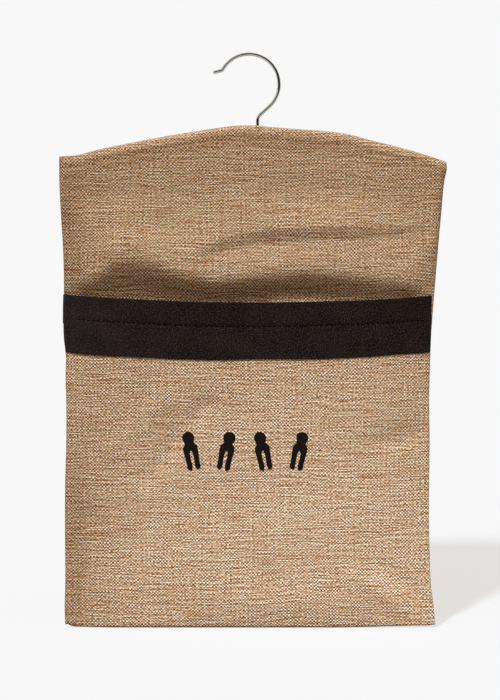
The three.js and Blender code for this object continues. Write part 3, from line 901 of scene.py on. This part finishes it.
def sewing_thread(name, dark, pale, shine):
    material, tree, shader = finish(name)
    place = node(tree, "ShaderNodeTexCoord").outputs["Object"]
    twist = {"Vector": place, "Scale": WAVE_BAND / (PLY_MM * MM), "Distortion": 2.0}
    ply = node(tree, "ShaderNodeTexWave", twist, bands_direction="DIAGONAL")
    colour = node(tree, RAMP, {0: ply}, [(0.2, dark), (0.8, pale)])
    connect(tree, shader, {"Base Color": colour, "Roughness": 0.8, "Specular IOR Level": shine})
    return material


def softwood():
    material, tree, shader = finish("planed_softwood")
    place = node(tree, "ShaderNodeTexCoord").outputs["Object"]
    drawn = node(tree, "ShaderNodeMapping", {"Vector": place, "Scale": (1 / GRAIN_TIMES_LONGER, 1, 1)})
    grain = node(tree, NOISE, {"Vector": drawn, "Scale": 1 / (GRAIN_MM * MM), "Detail": 4.0})
    colour = node(tree, RAMP, {0: grain}, [(0.35, "#b18b5c"), (0.65, "#d3b384")])
    bump = node(tree, "ShaderNodeBump", {"Strength": 0.2, "Distance": 0.3 * MM, "Height": grain})
    connect(tree, shader, {"Base Color": colour, "Normal": bump, "Roughness": 0.6})
    return material


def plated_wire():
    material, tree, shader = finish("nickel_plated_wire")
    place = node(tree, "ShaderNodeTexCoord").outputs["Object"]
    marks = node(tree, NOISE, {"Vector": place, "Scale": 1 / (MARKS_MM * MM), "Detail": 3.0})
    colour = node(tree, RAMP, {0: marks}, [(0.3, "#aea8a2"), (0.7, "#c2bdb7")])
    rough = node(tree, "ShaderNodeMapRange", {"Value": marks, "To Min": 0.06, "To Max": 0.14})
    connect(tree, shader, {"Base Color": colour, "Roughness": rough, "Metallic": 1})
    return material


tan_thread = sewing_thread("tan_sewing_thread", "#86664a", "#b89470", 0.3)
black_thread = sewing_thread("black_sewing_thread", "#020202", "#080707", 0.05)
wood = softwood()
wire_metal = plated_wire()
print("finishes:", [m.name for m in (tan_thread, black_thread, wood, wire_metal)])

# %% [markdown]
# ## Sewing the bag
# The side, shoulder and bottom seams are closed from inside, so their stitches only glint in the groove
# between front and back. The band's row of black stitches shows on its face and again on its inner leaf.

# %% Seams
SEWN = {"Spacing": 3.4 * MM, "Length": 3.0 * MM, "Thread": 0.5 * MM, "Finish": tan_thread}
TOPSTITCH = {"Spacing": 4.8 * MM, "Length": 3.4 * MM, "Thread": 0.9 * MM, "Finish": black_thread}
INSET = 0.35
SHANK_U = 0.514
SHANK_GAP = 0.012
SIDE_STEPS, EDGE_STEPS, FRONT_STEPS = 160, 120, 240
AT_FOOT, AT_HEAD = 3, 2


def edge_path(us, zs):
    """Places in the seam plane."""
    return [(float(side_x(u, z)), 0.0, float(z)) for u, z in zip(us, zs)]


def down_side(u, inset):
    zs = np.linspace(BOTTOM + AT_FOOT, float(head_z(u)) - AT_HEAD, SIDE_STEPS)
    return [(x + inset, y, z) for x, y, z in edge_path(np.full_like(zs, u), zs)]


def along_top(start, end):
    us = np.linspace(start, end, EDGE_STEPS)
    return edge_path(us, head_z(us) - INSET)


bottom_us = np.linspace(0.01, 0.99, EDGE_STEPS)
seams = {
    "left_shoulder_seam": along_top(0.004, SHANK_U - SHANK_GAP),
    "right_shoulder_seam": along_top(SHANK_U + SHANK_GAP, 0.996),
    "left_side_seam": down_side(0.0, INSET),
    "right_side_seam": down_side(1.0, -INSET),
    "bottom_seam": edge_path(bottom_us, foot_z(bottom_us) + INSET),
}
for name, places in seams.items():
    row = from_tree(name + "_stitches", stitching, places, SEWN)
    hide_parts(name)
    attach(row, "bag")

# %% Rows across the front
PROUD = 0.15
SEAM_UP, HEM_UP = 5, 8
ON_BAND, OUT_OF_SIGHT = (0.044, 0.972), (0.03, 0.97)


def row_across(name, ends, height_at, depth_at, lift, thread):
    """A row of stitches from side to side at a height, lifted off the cloth that has the depth."""
    us = np.linspace(*ends, FRONT_STEPS)
    zs = height_at(us)
    places = np.stack([side_x(us, zs), depth_at(us, zs) + lift, zs], axis=1)
    return from_tree(name, stitching, places, thread)


def seam_z(u):
    return band_foot(u) + SEAM_UP


def hem_z(u):
    return np.full_like(u, HEM + HEM_UP)


inner_lift = 2 * FOLD + PROUD
face_row = row_across("band_topstitch_face", ON_BAND, topstitch_z, band_y, -PROUD, TOPSTITCH)
inner_row = row_across("band_topstitch_inside", ON_BAND, topstitch_z, band_y, inner_lift, TOPSTITCH)
join_row = row_across("band_seam_stitches", OUT_OF_SIGHT, seam_z, pocket_y, CLOTH + PROUD, TOPSTITCH)
hem_row = row_across("flap_hem_stitches", OUT_OF_SIGHT, hem_z, flap_y, -PROUD, SEWN)

# %% [markdown]
# ## A printed row of pegs
# The pocket carries a small print in black fabric ink. Here it is a row of plain dolly pegs, drawn from
# a half-width at each height: a round head, a neck, a body, and two legs with a slot between them. Each
# one is laid on the pocket by asking the pocket's own depth, about a tenth of a millimetre in front of
# the cloth.

# %% Half a peg
PEG_TALL = 36.0
PEG_HEAD = 5.6
PEG_NECK = 26.6
SLOT_TOP = 18.4
INK = 0.12
PEG_ROWS, HEAD_ROWS, PEG_COLUMNS = 60, 26, 6
HEAD_FROM = -0.6
peg_half = through(
    (0, 3.9), (1.2, 5.4), (6, 6.0), (14, 6.5), (19, 6.8), (22.5, 6.4), (24.5, 4.7), (25.6, 4.2),
    (PEG_NECK, 4.6),
)
peg_slot = through((0, 2.3), (1.5, 1.7), (12, 1.45), (16, 1.2), (17.8, 0.7), (SLOT_TOP, 0.0))


def peg_rows():
    """(height, inner half-width, outer half-width) up one peg."""
    rows = [(h, float(peg_slot(h)), float(peg_half(h))) for h in np.linspace(0, PEG_NECK, PEG_ROWS)]
    centre = PEG_TALL - PEG_HEAD
    for angle in np.linspace(HEAD_FROM, math.pi / 2, HEAD_ROWS):
        rows.append((centre + PEG_HEAD * math.sin(angle), 0.0, PEG_HEAD * math.cos(angle)))
    return rows


def half_peg(centre, tilt, middle_z, side, first):
    """Places and faces of one half of a peg that leans by the tilt; first numbers its first place."""
    verts, quads = [], []
    cos, sin = math.cos(tilt), math.sin(tilt)
    for h, inner, outer in peg_rows():
        for part in np.linspace(0, 1, PEG_COLUMNS):
            a, b = side * (inner + (outer - inner) * part), h - PEG_TALL / 2
            x, z = centre + a * cos - b * sin, middle_z + a * sin + b * cos
            verts.append((x, float(pocket_y(share_at(x, z), z)) - INK, z))
    for n in range(first, first + len(verts) - PEG_COLUMNS):
        if (n - first) % PEG_COLUMNS < PEG_COLUMNS - 1:
            quads.append((n, n + 1, n + PEG_COLUMNS + 1, n + PEG_COLUMNS)[::side])
    return verts, quads


print("a peg has", len(peg_rows()), "rows")

# %% Four pegs
PEG_PLACES = (-53.5, -20.5, 12.6, 46.5)
PEG_MIDDLE = -366.5
PEG_LEAN = 0.2

verts, quads = [], []
for i, centre in enumerate(PEG_PLACES):
    for side in (-1, 1):
        tilt = PEG_LEAN * (-1) ** i
        more_verts, more_quads = half_peg(centre, tilt, PEG_MIDDLE, side, len(verts))
        verts += more_verts
        quads += more_quads
mesh = bpy.data.meshes.new("peg_print")
mesh.from_pydata((np.array(verts) * MM).tolist(), [], quads)
mesh.polygons.foreach_set("use_smooth", np.ones(len(quads), bool))
layer = mesh.uv_layers.new(name="weave")
flat = np.array(verts)[np.array(quads).reshape(-1)][:, [0, 2]] * MM
layer.data.foreach_set("uv", flat.reshape(-1).astype(np.float32))
peg_ink = added("peg_print", mesh)
print("peg print", len(quads), "faces")


# %% Fabric ink finish
def fabric_ink():
    material, tree, shader = finish("black_fabric_ink")
    _, chequer, _ = woven(tree, WARP_MM, WEFT_MM, HESSIAN_STRAY)
    level = node(tree, MATH, {0: chequer, 1: 0.5, 2: 0.5}, operation="MULTIPLY_ADD")
    colour = node(tree, RAMP, {0: level}, [(0.0, "#080605"), (1.0, "#1a1614")])
    bumps = node(tree, MATH, {0: chequer}, operation="ABSOLUTE")
    bump = node(tree, "ShaderNodeBump", {"Strength": 0.4, "Distance": 0.4 * MM, "Height": bumps})
    connect(tree, shader, {
        "Base Color": colour, "Normal": bump, "Roughness": 0.85, "Specular IOR Level": 0.15,
    })
    return material


peg_ink.data.materials.append(fabric_ink())
print("print finished with", peg_ink.data.materials[0].name)

# %% [markdown]
# ## Hook
# One length of wire: up from its head under the bar, a bend, a short leg, more than half a circle, and a
# tip that flicks outwards. A second Geometry Nodes tree sweeps a round section along the path. The path
# carries its own radius, which closes to a rounded tip and swells to the upset head at the other end.


# %% Wire tree
def wire_tree():
    tree, given = tree_with_inputs("wire", [("Finish", "NodeSocketMaterial")])
    line = node(tree, "GeometryNodeMeshToCurve", {"Mesh": given["Path"]})
    thick = node(tree, "GeometryNodeInputNamedAttribute", {"Name": "thick"}, data_type="FLOAT")
    unit = {"Resolution": 20, "Radius": 1.0}
    section = node(tree, "GeometryNodeCurvePrimitiveCircle", unit, mode="RADIUS")
    swept = node(tree, "GeometryNodeCurveToMesh", {
        "Curve": line, "Profile Curve": section, "Scale": thick, "Fill Caps": True,
    })
    return finished(tree, swept, given["Finish"])


def bent(start, heading, moves, step):
    """Places along a wire in the plane y = 0: each move is a length and the degrees it turns through."""
    x, z = start
    angle = math.radians(heading)
    places = [(x, 0.0, z)]
    for length, turn in moves:
        count = max(int(length / step), 3)
        for _ in range(count):
            angle += math.radians(turn) / count / 2
            x += length / count * math.cos(angle)
            z += length / count * math.sin(angle)
            angle += math.radians(turn) / count / 2
            places.append((x, 0.0, z))
    return places


wire = wire_tree()
print(wire.name, len(wire.nodes), "nodes")

# %% Hook path
WIRE = 1.6
ROUND = 28.0
BEND = 8.0
LEAN = 48
SWEEP = 198
FLICK_BEND, FLICK, TIP = 3.0, 46, 6.0
HEAD_RADIUS, HEAD_TALL = 3.2, 1.6
STEP = 0.5
BLUNT = 0.05
UPRIGHT = 90
foot = float(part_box("hook")[0][2]) / MM
lean = math.radians(LEAN)
leg = (ROUND * math.cos(lean) - SHANK_X) / math.sin(lean)
knee = BEND * math.tan(lean / 2)
knee_z = WIRE - ROUND - ROUND * math.sin(lean) - leg * math.cos(lean)
hook_line = bent((SHANK_X, foot), UPRIGHT, [
    (knee_z - knee - foot, 0), (BEND * lean, -LEAN), (leg - knee, 0),
    (ROUND * math.radians(SWEEP), SWEEP), (FLICK_BEND * math.radians(FLICK), -FLICK), (TIP + WIRE, 0),
], STEP)
run = np.concatenate([[0], np.cumsum(np.linalg.norm(np.diff(hook_line, axis=0), axis=1))])
radius = np.maximum(WIRE * rounded(run[-1] - run, WIRE), BLUNT)
radius[run < HEAD_TALL - STEP] = HEAD_RADIUS
hook = from_tree("hook_wire", wire, hook_line, {"Finish": wire_metal}, radius)
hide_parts("hook")
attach(hook, "hook")

# %% [markdown]
# ## Pieces on their bodies
# The hook stays on the rail and the bag turns under it. The pocket front swings open about the bottom
# seam, but its edges stay sewn to the sides. Here the hook goes on its own body, and the back, the upper
# front, the seams and the hem go on the bag's. The pocket, the band, the band's stitches and the print
# only have their placement baked into their meshes.

# %% Pieces of the bag
for sheet, node_name in ((back, "back_panel"), (upper, "upper_front_panel")):
    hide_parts(node_name)
    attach(sheet, "bag")
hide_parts("flap_hem_stitch")
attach(hem_row, "bag")
for name, material in (("hanger_bar", wood), ("hook_washer", wire_metal)):
    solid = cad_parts[name]
    solid.data.materials.clear()
    solid.data.materials.append(material)
    print(name, "keeps its solid and gets", material.name)

# %% Pieces of the pocket front
BAND_OUT, FACE_OUT, INNER_OUT = 0.6, 0.8, -1.3
swinging = (
    (pocket, "lower_front_panel", "jute", 0.0),
    (band, "mouth_band", "cotton", BAND_OUT),
    (face_row, "band_topstitch", "black_thread", FACE_OUT),
    (inner_row, "band_topstitch", "black_thread", INNER_OUT),
    (join_row, "band_seam", "black_thread", INNER_OUT),
)


def swing(piece):
    """Bakes a piece's placement into its mesh."""
    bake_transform(piece)


for piece, node_name, finish_slot, proud in swinging:
    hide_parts(node_name)
    swing(piece)
swing(peg_ink)
print("pieces that swing:", len(swinging) + 1)

# %% [markdown]
# ## Stage, light and camera
# A pale floor, a soft sun from the upper left, a spot lamp aimed low that fills the pocket's face, a
# little warm light from all round, and a level camera at about half the height of the whole. The floor
# looks white to the camera but gives little light back, so the undersides of the folds stay dark. Light
# linking gives the floor a lower lamp of its own, which throws the bag's long shadow to the right.
# Bright wire in a white room shows a dark core: a dark card behind the camera draws it, and the lamps
# are left out of reflections. The card is cut away at its upper left, so the stretches of wire that
# slant up to the right stay bright.

# %% Floor and card finishes
FLOOR_Z = (BOTTOM - 0.5) * MM
SHADOW_SPOT = (0.1, 0.2, FLOOR_Z)
NEAR, FAR = 0.45, 1.1
NEAR_GLOW = 0.73
ROOM_WHITE = "#f8f8f8"


def seen_by_eye(tree):
    """1 for what the camera sees, straight, mirrored or through something; 0 for light on its way."""
    rays = node(tree, "ShaderNodeLightPath").outputs
    shown = node(tree, MATH, {0: rays["Is Camera Ray"], 1: rays["Is Glossy Ray"]}, operation="MAXIMUM")
    return node(tree, MATH, {0: shown, 1: rays["Is Transmission Ray"]}, operation="MAXIMUM")


def pale_floor():
    """Matt near the bag, where its shadow falls, and the white of the room further off."""
    material, tree, _ = finish("pale_floor")
    tree.nodes.clear()
    shown = seen_by_eye(tree)
    two_tones = {0: shown, COLOUR_A: linear("#707070"), COLOUR_B: linear("#dae7fa")}
    tone = node(tree, MIX, two_tones, data_type="RGBA")
    matt = node(tree, "ShaderNodeBsdfDiffuse", {"Color": tone.outputs[MIXED]})
    glow = node(tree, "ShaderNodeEmission", {"Color": linear(ROOM_WHITE), "Strength": 1.0})
    place = node(tree, "ShaderNodeTexCoord").outputs["Object"]
    away = node(tree, VECTOR, {0: place, 1: SHADOW_SPOT}, operation="DISTANCE").outputs["Value"]
    reach = {"Value": away, "From Min": NEAR, "From Max": FAR, "To Min": NEAR_GLOW, "To Max": 1.0}
    far = node(tree, "ShaderNodeMapRange", reach, interpolation_type="SMOOTHSTEP")
    share = node(tree, MATH, {0: shown, 1: far}, operation="MULTIPLY")
    both = node(tree, "ShaderNodeMixShader", {0: share, 1: matt, 2: glow})
    node(tree, "ShaderNodeOutputMaterial", {0: both})
    return material


def black_card():
    material, tree, shader = finish("black_card")
    connect(tree, shader, {"Base Color": linear("#0a0a0a")})
    return material


print("floor glows from", NEAR, "to", FAR, "m round the shadow")


# %% Floor and card
def plane(name, corners, material):
    """A flat piece of the stage."""
    mesh = bpy.data.meshes.new(name)
    mesh.from_pydata(corners, [], [range(len(corners))])
    mesh.materials.append(material)
    made = added(name, mesh)
    return made


FLOOR_HALF = 12
CARD_Y = -2
CARD_CORNERS = ((6, -0.5), (-6, -0.5), (-6, 2.0), (-0.5, 0.45), (-0.5, 3.6), (6, 3.6))
signs = ((-1, -1), (1, -1), (1, 1), (-1, 1))
floor = plane("floor", [(FLOOR_HALF * x, FLOOR_HALF * y, FLOOR_Z) for x, y in signs], pale_floor())
card = plane("dark_card", [(x, CARD_Y, z) for x, z in CARD_CORNERS], black_card())
card.visible_camera = False
card.visible_diffuse = False
card.visible_shadow = False
print("floor at", round(FLOOR_Z, 4), "m")

# %% World
world = bpy.data.worlds.new("studio")
bpy.context.scene.world = world
world.use_nodes = True
tree = world.node_tree
tree.nodes.clear()
around = node(tree, "ShaderNodeBackground", {"Color": linear("#ffd4a4"), "Strength": 0.45})
seen_white = node(tree, "ShaderNodeBackground", {"Color": linear(ROOM_WHITE), "Strength": 1.0})
mixed = node(tree, "ShaderNodeMixShader", {0: seen_by_eye(tree), 1: around, 2: seen_white})
node(tree, "ShaderNodeOutputWorld", {0: mixed})
print("world", len(tree.nodes), "nodes")


# %% Lamps
def floor_link(name, state):
    """A light link that takes the floor in as all that a lamp lights, or leaves it out."""
    link = bpy.data.collections.new(name)
    link.objects.link(floor)
    link.collection_objects[0].light_linking.link_state = state
    return link


def lamp(kind, name, azimuth, elevation, distance, target, link, **settings):
    """A lamp on a sphere round its target, azimuth counted from the front to the right."""
    light = bpy.data.lights.new(name, kind)
    for setting, value in settings.items():
        setattr(light, setting, value)
    made = added(name, light)
    az, el = math.radians(azimuth), math.radians(elevation)
    offset = np.array([math.sin(az) * math.cos(el), -math.cos(az) * math.cos(el), math.sin(el)])
    made.location = np.array(target) + distance * offset
    made.rotation_euler = (math.pi / 2 - el, 0, az)
    made.visible_glossy = False
    made.light_linking.receiver_collection = link
    print(name, "at", [round(c, 2) for c in made.location])


BAG_MIDDLE = (0, 0, -0.27)
BELOW_POCKET = (0.01, 0, -0.70)
COOL, WARM = (0.93, 1.0, 1.12), (1.0, 0.98, 0.92)
no_floor = floor_link("all_but_the_floor", "EXCLUDE")
floor_only = floor_link("floor_only", "INCLUDE")
lamp("SUN", "key", azimuth=-16, elevation=58.5, distance=2.0, target=BAG_MIDDLE, link=no_floor,
     energy=2.86, angle=math.radians(10))
lamp("SPOT", "pocket_lamp", azimuth=10, elevation=54, distance=1.7, target=BELOW_POCKET, link=no_floor,
     energy=88, color=COOL, spot_size=math.radians(26), spot_blend=0.9, shadow_soft_size=0.12)
lamp("SUN", "floor_lamp", azimuth=-24, elevation=32, distance=2.0, target=BAG_MIDDLE, link=floor_only,
     energy=5.28, color=WARM, angle=math.radians(6))

# %% Camera
PIXEL = 0.93 * MM
PICTURE_TALL = 700
MIDDLE_RIGHT, MIDDLE_DOWN = 1, 294.1
DISTANCE = 1.5
SENSOR = 36
camera = added("camera", bpy.data.cameras.new("camera"))
camera.location = (MIDDLE_RIGHT * PIXEL, -DISTANCE, -MIDDLE_DOWN * PIXEL)
camera.rotation_euler = (math.pi / 2, 0, 0)
camera.data.sensor_width = SENSOR
camera.data.lens = SENSOR * DISTANCE / (PICTURE_TALL * PIXEL)
camera.data.clip_end = 50
bpy.context.scene.camera = camera
bpy.context.scene.view_settings.view_transform = "Standard"
print("lens", round(camera.data.lens, 1), "mm")
